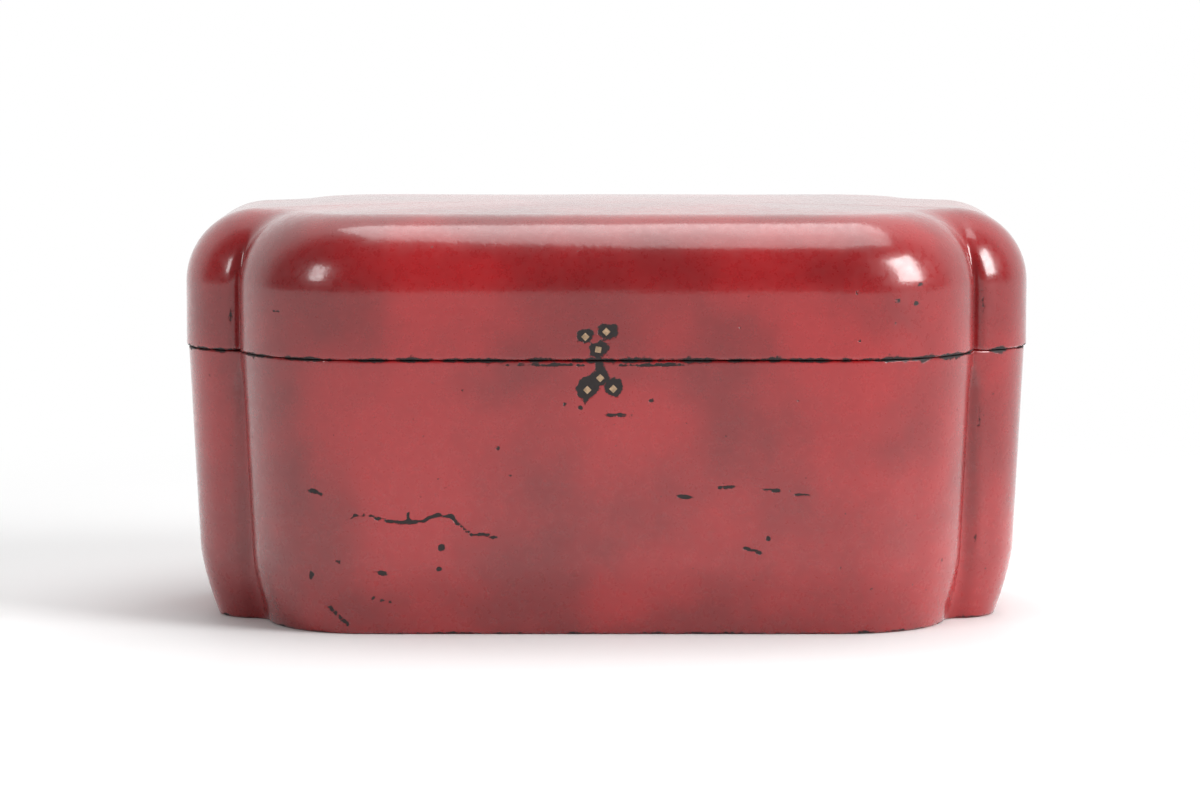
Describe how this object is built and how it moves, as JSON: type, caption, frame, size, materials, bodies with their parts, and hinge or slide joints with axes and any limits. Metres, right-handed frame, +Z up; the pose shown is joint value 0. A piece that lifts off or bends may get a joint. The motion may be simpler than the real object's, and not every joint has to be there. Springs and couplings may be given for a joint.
{
  "type": "lacquer box",
  "caption": "Lobed red lacquer box with grooved corners, rounded shoulders, flat top and a lid hinged along the back.",
  "frame": {"origin": "centre of the plan on the underside of the base, on the surface that the box stands on", "axes": "+X along the length to the right seen from the front, +Y to the back where the hinges are, +Z up"},
  "size_m": [0.4, 0.2354, 0.1942],
  "materials": {
    "red_lacquer": "glossy red lacquer over a wood core, worn and chipped",
    "black_lacquer": "satin black lacquer",
    "brass": "aged, dull"
  },
  "bodies": {
    "body": {"body_front_wall": "red_lacquer", "body_right_wall": "red_lacquer", "body_back_wall": "red_lacquer", "body_left_wall": "red_lacquer", "collar_front": "black_lacquer", "collar_right": "black_lacquer", "collar_back": "black_lacquer", "collar_left": "black_lacquer", "base_board": "red_lacquer", "body_front_pin_1": "brass", "body_front_pin_2": "brass", "body_front_pin_3": "brass", "hinge_left_body_leaf": "brass", "hinge_left_pin": "brass", "hinge_left_body_nail_1": "brass", "hinge_left_body_nail_2": "brass", "hinge_left_body_nail_3": "brass", "hinge_right_body_leaf": "brass", "hinge_right_pin": "brass", "hinge_right_body_nail_1": "brass", "hinge_right_body_nail_2": "brass", "hinge_right_body_nail_3": "brass"},
    "lid": {"lid_front_wall": "red_lacquer", "lid_right_wall": "red_lacquer", "lid_back_wall": "red_lacquer", "lid_left_wall": "red_lacquer", "lid_top_board": "red_lacquer", "lid_front_pin_1": "brass", "lid_front_pin_2": "brass", "lid_front_pin_3": "brass", "hinge_left_lid_leaf": "brass", "hinge_left_lid_nail_1": "brass", "hinge_left_lid_nail_2": "brass", "hinge_left_lid_nail_3": "brass", "hinge_right_lid_leaf": "brass", "hinge_right_lid_nail_1": "brass", "hinge_right_lid_nail_2": "brass", "hinge_right_lid_nail_3": "brass"}
  },
  "joints": [
    {"name": "lid_hinge", "type": "hinge", "parent": "body", "child": "lid", "pos_m": [0, 0.1178, 0.129], "axis": [-1, 0, 0], "range_deg": [0, 105]}
  ]
}
